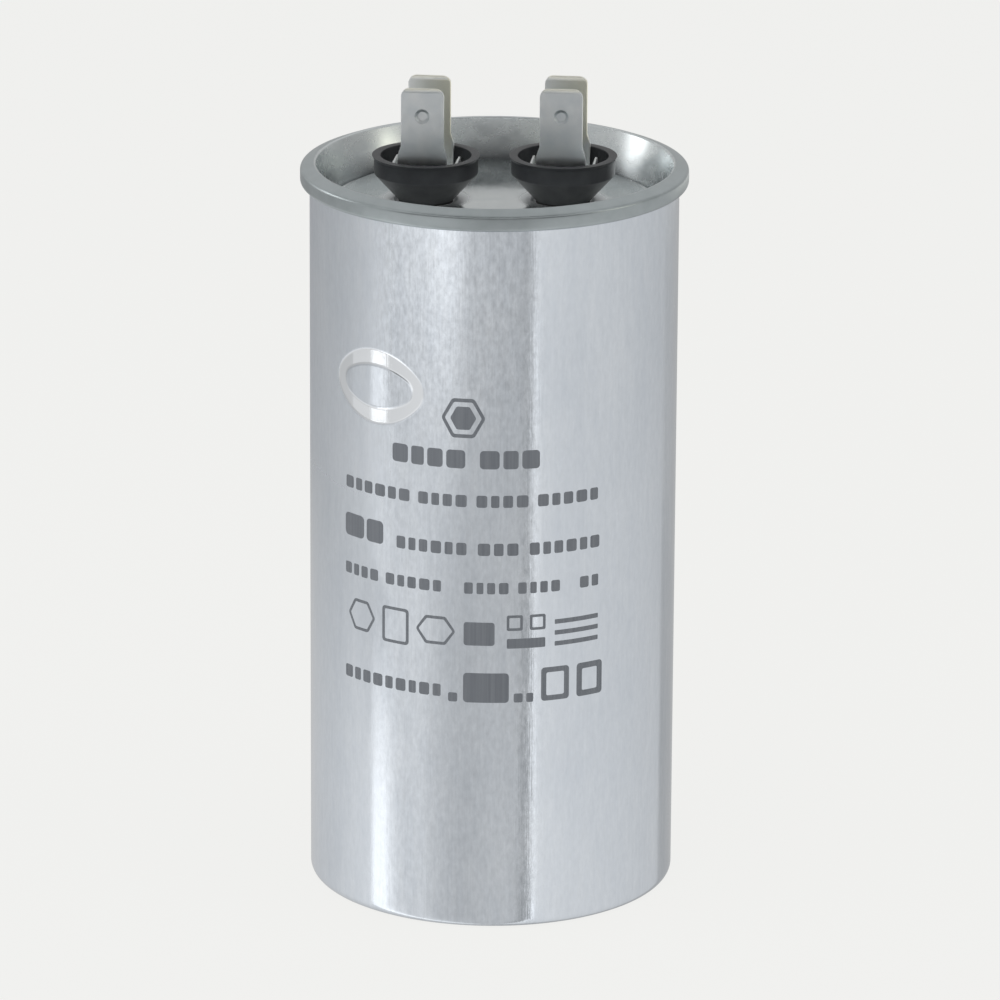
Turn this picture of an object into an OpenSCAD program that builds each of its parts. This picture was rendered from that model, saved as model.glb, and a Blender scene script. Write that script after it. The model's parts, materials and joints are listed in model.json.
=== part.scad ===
// Motor run capacitor: aluminium can, double-seamed lid, two insulated four-arm terminals,
// and the oil-filled film element inside with its leads.
// Millimetres, +Z up, origin at the centre of the can's flat base.

/* [Can] */
// Outer diameter of the can wall
can_d = 55; // [50:0.5:60]
// Height from the base to the top of the seam
body_h = 111.1; // [100:0.1:130]
// Thickness of the can wall
can_wall = 0.45; // [0.35:0.05:0.6]
// Thickness of the can floor
can_floor = 0.8; // [0.6:0.1:1.5]
// Outside radius of the corner between base and wall
base_round = 1.4; // [1:0.1:2.5]

/* [Coined oval on the can] */
// Height of the oval's centre above the base
oval_z = 82.7; // [70:0.1:90]
// Turn of the oval's centre round the can from the front, clockwise seen from above
oval_turn = 39; // [-90:1:90]
// Width of the oval's outer edge
oval_w = 16.2; // [14:0.1:18]
// Height of the oval's outer edge
oval_h = 11.3; // [9:0.1:13]
// Width of the oval's inner edge
oval_in_w = 12.7; // [11:0.1:13]
// Height of the oval's inner edge
oval_in_h = 6.5; // [5:0.1:8]
// Depth of the pressed band
oval_depth = 0.08; // [0.05:0.01:0.15]

/* [Seam and lid] */
// Thickness of the lid sheet
lid_t = 0.33; // [0.25:0.01:0.36]
// Free space between neighbouring layers of the seam
seam_gap = 0.1; // [0.08:0.01:0.14]
// Height of the rolled seam
seam_h = 2.9; // [2.8:0.1:3.5]
// Outside radius of the seam's two top corners
seam_round = 0.76; // [0.7:0.02:0.9]
// Depth of the lid panel below the top of the seam
panel_drop = 5.5; // [5:0.1:7]
// Depth of the groove round the panel
groove_drop = 1.0; // [0.9:0.1:1.3]
// Distance from the can's inner wall to the groove's centre line
groove_inset = 2.45; // [2.3:0.05:3.5]
// Inside radius of the groove's bottom
groove_round = 0.57; // [0.5:0.01:0.6]
// Depth of the round seat pressed for each terminal cup
seat_drop = 0.4; // [0.3:0.1:0.6]
// Radial clearance between a cup's foot and the edge of its seat
seat_gap = 0.25; // [0.15:0.05:0.5]

/* [Terminal cups] */
// Distance between the two terminals
terminal_pitch = 20.4; // [19.8:0.1:22]
// Height of a cup above the lid panel
cup_h = 6.7; // [6.5:0.1:8]
// Radius of the cup's lip
cup_lip_r = 8.05; // [7.9:0.05:8.2]
// Radius of the cup's straight band
cup_band_r = 7.75; // [7.6:0.05:7.85]
// Height of the straight band, with the lip
cup_band_h = 2.7; // [2.4:0.1:3]
// Height of the flare at the lip
cup_flare_h = 0.45; // [0.3:0.05:0.8]
// Radius of the cup's foot
cup_foot_r = 4.15; // [4:0.05:4.5]
// Width of the cup's lip
cup_wall = 1.3; // [1.1:0.05:1.4]
// Thickness of the cup floor
cup_floor = 2.6; // [2.5:0.1:2.8]
// Radius of the hollow at the cup floor
cup_floor_r = 5.55; // [5.5:0.05:5.6]
// Radius of the neck that goes through the lid
neck_r = 2.7; // [2.4:0.1:2.9]
// Length of the neck below the foot
neck_len = 1.2; // [1.1:0.1:1.3]
// Radial clearance of the neck in the lid and in the inner washer
neck_gap = 0.1; // [0.05:0.05:0.2]

/* [Terminals] */
// Width of a push-on tab
tab_w = 6.35; // [6.3:0.05:6.4]
// Thickness of the terminal sheet
tab_t = 0.8; // [0.75:0.05:0.85]
// Height of the tabs above the lid panel
tab_h = 17.8; // [16:0.1:20]
// Free space between the two tabs of one terminal
tab_space = 7.34; // [7:0.02:7.5]
// Width of a tab at its root
tab_root_w = 7.3; // [6.6:0.1:7.4]
// Height above the panel where the wide root ends
tab_root_h = 7.6; // [7:0.1:9]
// Height over which the root narrows to the tab
tab_taper_h = 1.4; // [0.8:0.1:2]
// Radius of a tab's top corners
tab_corner = 1.25; // [0.8:0.05:1.6]
// Height of the bevel at a tab's top edge
tab_bevel = 0.6; // [0.4:0.05:0.9]
// Radius of the dimple in a tab's outer face
tab_dimple_r = 1.05; // [0.8:0.05:1.2]
// Depth of the dimple
tab_dimple_depth = 0.4; // [0.2:0.05:0.5]
// Distance from a tab's top to its dimple
tab_dimple_drop = 4.2; // [3.5:0.1:5]
// Distance between the outer faces of the two ears
ear_span = 10.3; // [10:0.05:10.4]
// Width of an ear
ear_w = 5.8; // [5:0.1:6]
// Height of the ears above the lid panel
ear_h = 6.7; // [6:0.1:8]
// Inside radius of the terminal's bends
bend_r = 0.4; // [0.3:0.05:0.5]
// Turn of the left terminal about its rivet
left_turn = -7; // [-8:0.5:8]
// Turn of the right terminal about its rivet
right_turn = -5.6; // [-8:0.1:8]

/* [Rivets, washers and lugs] */
// Radius of the rivet's shank
rivet_r = 1.5; // [1.2:0.1:1.7]
// Radius of the rivet's heads
rivet_head_r = 2.7; // [2.4:0.1:2.9]
// Height of a rivet head
rivet_head_h = 0.9; // [0.7:0.1:1.2]
// Radial clearance round the rivet's shank
rivet_gap = 0.08; // [0.05:0.01:0.15]
// Radius of the insulating washer under the lid
washer_r = 5; // [4.8:0.1:6]
// Thickness of the insulating washer
washer_t = 1.3; // [1.2:0.1:1.8]
// Radius of the solder lug's eye
lug_eye_r = 3.3; // [3:0.1:3.6]
// Width of the solder lug's tail
lug_w = 3; // [2:0.1:4]
// Thickness of the solder lug
lug_t = 0.6; // [0.5:0.1:0.8]
// Distance from the rivet to the outer face of the lug's tail
lug_reach = 7; // [6.5:0.1:8]
// Length of the lug's hanging tail
lug_drop = 5; // [4:0.5:6]

/* [Capacitor element] */
// Free height between the top insulator and the tails of the solder lugs
head_space = 7.07; // [6:0.01:12]
// Thickness of the outer film wrap
wrap_t = 0.3; // [0.2:0.1:0.5]
// Thickness of each sprayed end
spray_t = 0.6; // [0.4:0.1:1]
// Outer diameter of the winding core
core_d = 8; // [7:0.5:12]
// Wall thickness of the winding core
core_wall = 1; // [0.8:0.1:1.2]

/* [Insulators] */
// Radial clearance between an insulator and the can, and between it and the roll
fit_gap = 0.3; // [0.1:0.05:0.4]
// Wall thickness of both insulators
rim_t = 0.95; // [0.8:0.05:1.5]
// Thickness of the bottom insulator's floor
bottom_t = 1; // [0.8:0.1:1.5]
// Free height under the element for the lower lead
bottom_space = 2.4; // [2.2:0.1:3]
// Width of the ledge that the element stands on
ledge_w = 5; // [4:0.5:8]
// Height of the rim round the foot of the element
bottom_rim = 6; // [4:0.5:12]
// Thickness of the top insulator
top_t = 1.5; // [1.2:0.1:2.5]
// Length of the top insulator's skirt round the element
top_skirt = 5; // [4:0.5:10]
// Radius of the oil holes in the top insulator
oil_hole_r = 2; // [1:0.5:2.5]
// Radius of the circle of oil holes
oil_ring_r = 17; // [10:0.5:20]

/* [Leads] */
// Radius of the lead wire
wire_r = 0.5; // [0.4:0.05:0.6]
// Radius of the lead wire's bends, to the wire's centre line
wire_bend = 1.5; // [1.3:0.1:2]
// Wall thickness of the lead sleeve
sleeve_wall = 0.45; // [0.3:0.05:0.5]
// Radial clearance between wire and sleeve
sleeve_gap = 0.05; // [0.03:0.01:0.1]
// Radius of a solder joint
solder_r = 1.5; // [1.3:0.1:1.8]
// Length of the lower lead beyond the winding core
lower_run = 4; // [3:0.5:8]
// Length of wire that sticks out of the lower joint
wire_tail = 1; // [0.6:0.1:1.4]
// Height above the top insulator where the lower lead starts to turn
lead_rise = 1.2; // [0.6:0.1:2]

/* [Hidden] */
$fn = 96;
// Overlap used where a cut runs past a face
over = 1;

// Can and seam
can_r = can_d / 2;
can_in = can_r - can_wall;
inner_round = base_round - can_wall;
// Seam layers from the can wall outwards: cover hook, body hook, outer wall of the lid
cover_hook_r = can_r + seam_gap;
body_hook_r = cover_hook_r + lid_t + seam_gap;
seam_wall_r = body_hook_r + can_wall + seam_gap;
seam_r = seam_wall_r + lid_t;
seam_bottom = body_h - seam_h;
// Centre of the bend at the bottom of the seam
curl_mid = (cover_hook_r + seam_r) / 2;
curl_out = (seam_r - cover_hook_r) / 2;
curl_z = seam_bottom + curl_out;
// Centre of the bend at the top of the can's flange
flange_mid = (can_in + body_hook_r + can_wall) / 2;
flange_out = (body_hook_r + can_wall - can_in) / 2;
flange_z = body_h - lid_t - seam_gap - flange_out;
body_hook_z = curl_z + seam_gap / 2;
cover_hook_z = flange_z - seam_gap / 2;
// Chuck wall: the lid's wall inside the can
chuck_gap = seam_gap / 2;
chuck_out = can_in - chuck_gap;
chuck_in = chuck_out - lid_t;
corner_in = seam_round - lid_t;
corner_z = body_h - seam_round;

// Lid panel and groove
panel_z = body_h - panel_drop;
panel_under = panel_z - lid_t;
groove_r = can_in - groove_inset;
groove_z = panel_z - groove_drop + groove_round;
groove_out = groove_round + lid_t;
panel_bend = panel_z - groove_z;
panel_bend_r = groove_r - groove_round - panel_bend;
seat_z = panel_z - seat_drop;
seat_under = seat_z - lid_t;
seat_r = cup_foot_r + seat_gap;
hole_r = neck_r + neck_gap;

// Cups
cup_top = panel_z + cup_h;
cup_band_z = cup_top - cup_band_h;
cup_floor_z = panel_z + cup_floor;
cup_slope = (cup_band_r - cup_foot_r) / (cup_band_z - panel_z);
cup_hollow_r = cup_lip_r - cup_wall;
cup_hollow_z = cup_floor_z + (cup_hollow_r - cup_floor_r) / cup_slope;
neck_z = panel_z - neck_len;
rivet_hole_r = rivet_r + rivet_gap;
left_x = -terminal_pitch / 2;
right_x = terminal_pitch / 2;

// Terminals
tab_top = panel_z + tab_h;
tab_reach = tab_space / 2 + tab_t;
ear_top = panel_z + ear_h;
ear_reach = ear_span / 2;
base_top = cup_floor_z + tab_t;

// Washers, lugs and rivets
washer_z = seat_under - washer_t;
counterbore_z = neck_z - neck_gap / 2;
lug_z = washer_z - lug_t;
rivet_low = lug_z - rivet_head_h;

// Element
bottom_z = can_floor;
ledge_z = bottom_z + bottom_t + bottom_space;
roll_z = ledge_z + spray_t;
lug_tail_z = lug_z - lug_drop;
top_z = lug_tail_z - head_space;
element_top = top_z - top_t;
roll_top = element_top - spray_t;
insulator_r = can_in - fit_gap;
insulator_in = insulator_r - rim_t;
wrap_r = insulator_in - fit_gap;
roll_r = wrap_r - wrap_t;
core_r = core_d / 2;
core_in = core_r - core_wall;

// Leads: the wires run up beside the lugs' tails
lead_x = terminal_pitch / 2 + lug_reach + wire_r;
wire_top = lug_tail_z + lug_drop / 2;
lug_joint_z = lug_tail_z + lug_drop / 4;
sleeve_in = wire_r + sleeve_gap;
sleeve_out = sleeve_in + sleeve_wall;
lower_z = ledge_z - wire_r - sleeve_gap;
lower_end = core_r + lower_run;
crossing_z = top_z + lead_rise;

// ---- Helpers -------------------------------------------------------------------------------

// A quarter of a bent sheet's section, centred on the bend; qx and qz choose the quarter
module bend(x, z, inside, t, qx, qz) {
    side = inside + t;
    translate([x, z]) intersection() {
        difference() {
            circle(inside + t);
            circle(inside);
        }
        translate([qx > 0 ? 0 : -side, qz > 0 ? 0 : -side]) square(side);
    }
}

// A block of section from one corner to the other
module strip(x0, z0, x1, z1) {
    translate([x0, z0]) square([x1 - x0, z1 - z0]);
}

// A tube or ring with an exact bore
module ring(r_out, r_in, z0, z1) {
    difference() {
        translate([0, 0, z0]) cylinder(r = r_out, h = z1 - z0);
        translate([0, 0, z0 - over]) cylinder(r = r_in, h = z1 - z0 + 2 * over);
    }
}

// A straight round wire along Z
module wire(r, z0, z1) {
    translate([0, 0, z0]) cylinder(r = r, h = z1 - z0);
}

// An elbow in the XZ plane, centred on its bend, that takes a wire from +Z to +X
module elbow(r, bend_radius, start) {
    rotate([90, 0, 0]) rotate_extrude(angle = 90, start = start)
        translate([bend_radius, 0]) circle(r);
}

// ---- Can, lid and seam ---------------------------------------------------------------------

// A rounded-bottom profile that fills from the axis to radius r, from z0 to z1
module tub(r, z0, z1, corner) {
    strip(0, z0, r - corner, z0 + corner);
    strip(0, z0 + corner, r, z1);
    translate([r - corner, z0 + corner]) circle(corner);
}

module can_section() {
    difference() {
        tub(can_r, 0, flange_z, base_round);
        tub(can_in, can_floor, flange_z + over, inner_round);
    }
    bend(flange_mid, flange_z, flange_out - can_wall, can_wall, -1, 1);
    bend(flange_mid, flange_z, flange_out - can_wall, can_wall, 1, 1);
    strip(body_hook_r, body_hook_z, body_hook_r + can_wall, flange_z);
}

// A four-centred oval, w long and h high
module oval(w, h) {
    end_r = h * 0.32;
    rise = w / 2 - end_r;
    side_r = (rise * rise + h * h / 4 - end_r * end_r) / (h - 2 * end_r);
    drop = side_r - h / 2;
    // The side arcs touch the end arcs where the line through both centres meets them
    join = rise * side_r / (side_r - end_r);
    for (side = [-1, 1]) {
        translate([side * rise, 0]) circle(end_r);
    }
    intersection() {
        translate([0, drop]) circle(side_r);
        translate([0, -drop]) circle(side_r);
        square([2 * join, h + over], center = true);
    }
}

module oval_press() {
    rotate([0, 0, -oval_turn]) intersection() {
        translate([0, 0, oval_z]) rotate([90, 0, 0]) linear_extrude(can_r + over) difference() {
            oval(oval_w, oval_h);
            oval(oval_in_w, oval_in_h);
        }
        ring(can_r + over, can_r - oval_depth, oval_z - oval_h, oval_z + oval_h);
    }
}

module can() {
    color("#b9bfc6") difference() {
        rotate_extrude() can_section();
        oval_press();
    }
}

module lid_section() {
    // Rolled edge: cover hook, curl, outer wall
    strip(cover_hook_r, curl_z, cover_hook_r + lid_t, cover_hook_z);
    bend(curl_mid, curl_z, curl_out - lid_t, lid_t, -1, -1);
    bend(curl_mid, curl_z, curl_out - lid_t, lid_t, 1, -1);
    strip(seam_wall_r, curl_z, seam_r, corner_z);
    // Top of the seam
    bend(seam_r - seam_round, corner_z, corner_in, lid_t, 1, 1);
    strip(chuck_in + seam_round, body_h - lid_t, seam_r - seam_round, body_h);
    bend(chuck_in + seam_round, corner_z, corner_in, lid_t, -1, 1);
    // Chuck wall: upright in the seam, then leaning in to the groove
    strip(chuck_in, seam_bottom, chuck_out, corner_z);
    polygon([
        [chuck_in, seam_bottom],
        [chuck_out, seam_bottom],
        [groove_r + groove_out, groove_z],
        [groove_r + groove_round, groove_z]
    ]);
    // Groove and the bend up to the panel
    bend(groove_r, groove_z, groove_round, lid_t, 1, -1);
    bend(groove_r, groove_z, groove_round, lid_t, -1, -1);
    bend(panel_bend_r, groove_z, panel_bend - lid_t, lid_t, 1, 1);
    strip(0, panel_under, panel_bend_r, panel_z);
}

module lid() {
    color("#9aa3a3") difference() {
        union() {
            rotate_extrude() lid_section();
            for (x = [left_x, right_x]) {
                translate([x, 0, seat_under]) cylinder(r = seat_r + lid_t, h = panel_z - seat_under);
            }
        }
        for (x = [left_x, right_x]) {
            translate([x, 0, seat_z]) cylinder(r = seat_r, h = seat_drop + over);
            translate([x, 0, seat_under - over]) cylinder(r = hole_r, h = lid_t + 2 * over);
        }
    }
}

// Fills the space between the lid's top and the can's flange
module seam_compound() {
    color("#3c3f3c") rotate_extrude() difference() {
        union() {
            strip(chuck_out, flange_z, seam_wall_r, corner_z);
            strip(chuck_out + corner_in, flange_z, seam_wall_r - corner_in, body_h - lid_t);
            translate([chuck_out + corner_in, corner_z]) circle(corner_in);
            translate([seam_wall_r - corner_in, corner_z]) circle(corner_in);
        }
        translate([flange_mid, flange_z]) circle(flange_out);
        strip(can_in, flange_z - over, body_hook_r + can_wall, flange_z);
        strip(0, 0, seam_r, flange_z);
    }
}

// ---- Terminals -----------------------------------------------------------------------------

module terminal_cup(x) {
    color("#26292b") translate([x, 0, 0]) difference() {
        union() {
            rotate_extrude() polygon([
                [0, panel_z],
                [cup_foot_r, panel_z],
                [cup_band_r, cup_band_z],
                [cup_band_r, cup_top - cup_flare_h],
                [cup_lip_r, cup_top],
                [0, cup_top]
            ]);
            wire(neck_r, neck_z, panel_z + over);
        }
        rotate_extrude() polygon([
            [0, cup_floor_z],
            [cup_floor_r, cup_floor_z],
            [cup_hollow_r, cup_hollow_z],
            [cup_hollow_r, cup_top + over],
            [0, cup_top + over]
        ]);
        wire(rivet_hole_r, neck_z - over, cup_floor_z + over);
    }
}

// Section of one arm: flat base, bend, upright; reach is the distance to its outer face
module arm_section(reach, top, bevel) {
    bend_out = bend_r + tab_t;
    inner = reach - tab_t;
    edge = tab_t / 4;
    strip(0, cup_floor_z, reach - bend_out, base_top);
    bend(reach - bend_out, cup_floor_z + bend_out, bend_r, tab_t, 1, -1);
    polygon([
        [inner, cup_floor_z + bend_out],
        [reach, cup_floor_z + bend_out],
        [reach, top - bevel],
        [reach - edge, top],
        [inner + edge, top],
        [inner, top - bevel]
    ]);
}

// Outline of a tab from the front: wide root, taper, blade with round corners
module tab_outline() {
    root_z = panel_z + tab_root_h;
    blade_z = root_z + tab_taper_h;
    strip(-tab_root_w / 2, cup_floor_z, tab_root_w / 2, root_z);
    polygon([
        [-tab_root_w / 2, root_z],
        [tab_root_w / 2, root_z],
        [tab_w / 2, blade_z],
        [-tab_w / 2, blade_z]
    ]);
    strip(-tab_w / 2, blade_z, tab_w / 2, tab_top - tab_corner);
    strip(tab_corner - tab_w / 2, blade_z, tab_w / 2 - tab_corner, tab_top);
    for (side = [-1, 1]) {
        translate([side * (tab_w / 2 - tab_corner), tab_top - tab_corner]) circle(tab_corner);
    }
}

module tab() {
    difference() {
        intersection() {
            rotate([90, 0, 90]) translate([0, 0, -tab_root_w / 2])
                linear_extrude(tab_root_w) arm_section(tab_reach, tab_top, tab_bevel);
            translate([0, tab_reach, 0]) rotate([90, 0, 0])
                linear_extrude(tab_reach) tab_outline();
        }
        translate([0, tab_reach - tab_dimple_depth, tab_top - tab_dimple_drop])
            rotate([-90, 0, 0]) cylinder(r = tab_dimple_r, h = tab_dimple_depth + over);
    }
}

module ear() {
    rotate([90, 0, 0]) translate([0, 0, -ear_w / 2])
        linear_extrude(ear_w) arm_section(ear_reach, ear_top, tab_bevel / 2);
}

module terminal(x, turn) {
    color("#a9b1b6") translate([x, 0, 0]) rotate([0, 0, turn]) difference() {
        union() {
            for (side = [0, 180]) {
                rotate([0, 0, side]) tab();
                rotate([0, 0, side]) ear();
            }
        }
        wire(rivet_hole_r, cup_floor_z - over, base_top + over);
    }
}

module cup_gasket(x) {
    color("#1b1b1b") translate([x, 0, 0]) ring(cup_foot_r - neck_gap, hole_r, seat_z, panel_z);
}

module rivet(x) {
    color("#b4b9ba") translate([x, 0, 0]) {
        wire(rivet_r, lug_z, base_top);
        wire(rivet_head_r, base_top, base_top + rivet_head_h);
        wire(rivet_head_r, rivet_low, lug_z);
    }
}

module inner_washer(x) {
    color("#7a4a2a") translate([x, 0, 0]) difference() {
        wire(washer_r, washer_z, seat_under);
        wire(hole_r, counterbore_z, seat_under + over);
        wire(rivet_hole_r, washer_z - over, seat_under + over);
    }
}

// A round eye with a tail that goes out from the middle of the lid and hangs down
module inner_lug(x) {
    lug_bend = lug_t + bend_r;
    color("#c9b26a") translate([x, 0, 0]) rotate([0, 0, x > 0 ? 0 : 180]) difference() {
        union() {
            wire(lug_eye_r, lug_z, washer_z);
            rotate([90, 0, 0]) translate([0, 0, -lug_w / 2]) linear_extrude(lug_w) {
                strip(0, lug_z, lug_reach - lug_bend, washer_z);
                bend(lug_reach - lug_bend, washer_z - lug_bend, bend_r, lug_t, 1, 1);
                strip(lug_reach - lug_t, lug_tail_z, lug_reach, washer_z - lug_bend);
            }
        }
        wire(rivet_hole_r, lug_z - over, washer_z + over);
    }
}

// ---- Element and insulators ----------------------------------------------------------------

module bottom_insulator() {
    color("#d8d4c4") difference() {
        wire(insulator_r, bottom_z, ledge_z + bottom_rim);
        wire(insulator_in, ledge_z, ledge_z + bottom_rim + over);
        wire(insulator_r - ledge_w, bottom_z + bottom_t, ledge_z + over);
        // The corner follows the can's inside corner
        rotate_extrude() difference() {
            strip(insulator_r - inner_round, bottom_z - over, can_r, bottom_z + inner_round);
            translate([insulator_r - inner_round, bottom_z + inner_round]) circle(inner_round);
        }
    }
}

module top_insulator() {
    color("#d8d4c4") difference() {
        wire(insulator_r, element_top - top_skirt, top_z);
        wire(insulator_in, element_top - top_skirt - over, element_top);
        wire(sleeve_out + fit_gap, element_top - over, top_z + over);
        translate([-lead_x, 0, 0]) wire(solder_r + fit_gap, element_top - over, top_z + over);
        for (turn = [45:90:315]) {
            rotate([0, 0, turn]) translate([oil_ring_r, 0, 0])
                wire(oil_hole_r, element_top - over, top_z + over);
        }
    }
}

module core_tube() {
    color("#e4e2da") ring(core_r, core_in, ledge_z, element_top);
}

module film_winding() {
    color("#b7bcc2") ring(roll_r, core_r, roll_z, roll_top);
}

module element_wrap() {
    color("#e9e6dc") ring(wrap_r, roll_r, ledge_z, element_top);
}

module end_spray_bottom() {
    color("#8f959b") ring(roll_r, core_r, ledge_z, roll_z);
}

module end_spray_top() {
    color("#8f959b") ring(roll_r, core_r, roll_top, element_top);
}

// ---- Leads ---------------------------------------------------------------------------------

// From the upper end spray straight up to the left lug
module lead_to_left() {
    color("#c7c9cb") translate([-lead_x, 0, 0]) wire(wire_r, element_top, wire_top);
}

module lead_sleeve_left() {
    color("#c8452f") translate([-lead_x, 0, 0])
        ring(sleeve_out, sleeve_in, element_top + solder_r, lug_joint_z - solder_r);
}

// From the lower end spray through the core, across to the right lug and up to it
module lead_to_right() {
    color("#c7c9cb") {
        translate([wire_bend, 0, lower_z]) rotate([0, 90, 0]) wire(wire_r, 0, lower_end - wire_bend);
        translate([wire_bend, 0, lower_z + wire_bend]) elbow(wire_r, wire_bend, 180);
        wire(wire_r, lower_z + wire_bend, crossing_z);
        translate([wire_bend, 0, crossing_z]) elbow(wire_r, wire_bend, 90);
        translate([wire_bend, 0, crossing_z + wire_bend]) rotate([0, 90, 0])
            wire(wire_r, 0, lead_x - 2 * wire_bend);
        translate([lead_x - wire_bend, 0, crossing_z + 2 * wire_bend]) elbow(wire_r, wire_bend, 270);
        translate([lead_x, 0, 0]) wire(wire_r, crossing_z + 2 * wire_bend, wire_top);
    }
}

module lead_sleeve_right() {
    color("#2f4fa8") ring(sleeve_out, sleeve_in, lower_z + wire_bend + fit_gap, crossing_z);
}

// A drop of solder at height z, kept between low and high and cut round an upright wire
module solder_drop(x, z, low, high) {
    translate([x, 0, 0]) difference() {
        translate([0, 0, z]) sphere(solder_r);
        wire(wire_r, z - 2 * solder_r, z + 2 * solder_r);
        wire(2 * solder_r, z - 2 * solder_r, low);
        wire(2 * solder_r, high, z + 2 * solder_r);
    }
}

module solder_joints() {
    color("#d5d8da") {
        // On the upper end spray
        solder_drop(-lead_x, element_top, element_top, element_top + solder_r);
        // On the two lugs' tails
        for (side = [0, 180]) rotate([0, 0, side]) difference() {
            solder_drop(lead_x, lug_joint_z, lug_joint_z - solder_r, lug_joint_z + solder_r);
            translate([0, -lug_w / 2, lug_tail_z]) cube([right_x + lug_reach, lug_w, lug_drop]);
        }
        // On the lower end spray
        difference() {
            translate([lower_end - wire_tail, 0, ledge_z]) sphere(solder_r);
            wire(roll_r, ledge_z, ledge_z + 2 * solder_r);
            translate([0, 0, lower_z]) rotate([0, 90, 0]) wire(wire_r, 0, lower_end);
        }
    }
}

// ---- Nodes ---------------------------------------------------------------------------------

module terminal_cup_left() { terminal_cup(left_x); }
module terminal_cup_right() { terminal_cup(right_x); }
module terminal_left() { terminal(left_x, left_turn); }
module terminal_right() { terminal(right_x, right_turn); }
module cup_gasket_left() { cup_gasket(left_x); }
module cup_gasket_right() { cup_gasket(right_x); }
module rivet_left() { rivet(left_x); }
module rivet_right() { rivet(right_x); }
module inner_washer_left() { inner_washer(left_x); }
module inner_washer_right() { inner_washer(right_x); }
module inner_lug_left() { inner_lug(left_x); }
module inner_lug_right() { inner_lug(right_x); }

can();
lid();
seam_compound();
terminal_cup_left();
terminal_cup_right();
terminal_left();
terminal_right();
cup_gasket_left();
cup_gasket_right();
rivet_left();
rivet_right();
inner_washer_left();
inner_washer_right();
inner_lug_left();
inner_lug_right();
bottom_insulator();
top_insulator();
core_tube();
film_winding();
element_wrap();
end_spray_bottom();
end_spray_top();
lead_to_left();
lead_to_right();
lead_sleeve_left();
lead_sleeve_right();
solder_joints();
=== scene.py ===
"""Motor run capacitor: finish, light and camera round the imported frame."""

import json
import math

import bmesh
import bpy
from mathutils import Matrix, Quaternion, Vector


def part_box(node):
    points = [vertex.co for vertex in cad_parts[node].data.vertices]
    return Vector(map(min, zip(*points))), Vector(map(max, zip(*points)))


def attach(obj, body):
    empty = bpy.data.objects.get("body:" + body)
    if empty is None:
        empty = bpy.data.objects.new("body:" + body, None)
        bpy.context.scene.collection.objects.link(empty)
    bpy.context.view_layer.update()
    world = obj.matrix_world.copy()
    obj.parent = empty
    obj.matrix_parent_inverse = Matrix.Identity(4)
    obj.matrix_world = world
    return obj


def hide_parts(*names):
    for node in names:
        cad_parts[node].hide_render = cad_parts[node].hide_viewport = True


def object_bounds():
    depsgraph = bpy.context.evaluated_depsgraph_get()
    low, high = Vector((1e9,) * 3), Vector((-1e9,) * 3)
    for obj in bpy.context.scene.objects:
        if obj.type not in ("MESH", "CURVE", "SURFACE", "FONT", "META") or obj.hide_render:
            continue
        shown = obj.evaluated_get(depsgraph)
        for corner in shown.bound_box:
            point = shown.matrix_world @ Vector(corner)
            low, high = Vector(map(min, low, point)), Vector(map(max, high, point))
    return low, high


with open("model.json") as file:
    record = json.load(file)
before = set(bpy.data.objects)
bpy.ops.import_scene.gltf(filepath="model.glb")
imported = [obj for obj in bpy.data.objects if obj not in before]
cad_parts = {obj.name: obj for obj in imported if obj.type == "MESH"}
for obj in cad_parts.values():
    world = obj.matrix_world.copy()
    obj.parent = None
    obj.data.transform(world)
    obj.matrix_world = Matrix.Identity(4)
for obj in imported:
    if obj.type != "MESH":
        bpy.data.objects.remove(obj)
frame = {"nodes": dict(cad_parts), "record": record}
CAD_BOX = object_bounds()

MM = 0.001
TURN = 2 * math.pi


# ---- Sizes, from the frame ------------------------------------------------------------------

def mount(name):
    """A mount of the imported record, by its name."""
    return next(m for m in frame["record"]["mounts"] if m["name"] == name)


def low_high(node):
    """Lowest and highest corner of a CAD node."""
    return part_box(node)


CAN_LOW, CAN_HIGH = low_high("can")
LID_LOW, LID_HIGH = low_high("lid")
CUP_LOW, CUP_HIGH = low_high("terminal_cup_right")
FOOT_LOW, FOOT_HIGH = low_high("cup_gasket_right")
RIVET_LOW, RIVET_HIGH = low_high("rivet_right")
LINER_LOW, LINER_HIGH = low_high("bottom_insulator")

# Can
can_r = mount("strap_band")["dims"]["r_mm"] * MM
can_wall = 0.45 * MM
can_in = can_r - can_wall
can_floor = LINER_LOW.z
base_round = 1.4 * MM

# Cups
pitch = CUP_LOW.x + CUP_HIGH.x
cup_lip_r = (CUP_HIGH.x - CUP_LOW.x) / 2
cup_top = CUP_HIGH.z
cup_foot_r = 4.15 * MM

# Seam and lid sheet
lid_t = 0.33 * MM
seam_r = LID_HIGH.x
seam_top = LID_HIGH.z
seam_bottom = seam_top - 2.9 * MM
seam_rise = 0.3 * MM
seam_slope = 0.85 * MM
seam_inner_round = 0.4 * MM
seam_outer_round = 0.6 * MM
hook_r = CAN_HIGH.x - can_wall
chuck_r = can_in - 0.05 * MM - lid_t
chuck_taper = 0.98 * MM
panel_z = FOOT_HIGH.z
seat_z = FOOT_LOW.z
groove_z = panel_z - 1.0 * MM
groove_r = can_in - 3.05 * MM
groove_round = 0.57 * MM
wall_round = 2.6 * MM
seat_r = cup_foot_r + 0.25 * MM
seam_clear = 0.1 * MM
hook_drop = 0.8 * MM

# Rivets
rivet_head_r = (RIVET_HIGH.x - RIVET_LOW.x) / 2
rivet_r = 1.5 * MM
rivet_head_h = 0.9 * MM

# Blades of the terminals
blade_half = 6.35 / 2 * MM
blade_z = panel_z + 9.0 * MM
blade_top = low_high("terminal_right")[1].z
dimple_area = math.pi * (1.05 * MM) ** 2
edge_break = 0.09 * MM

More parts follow.
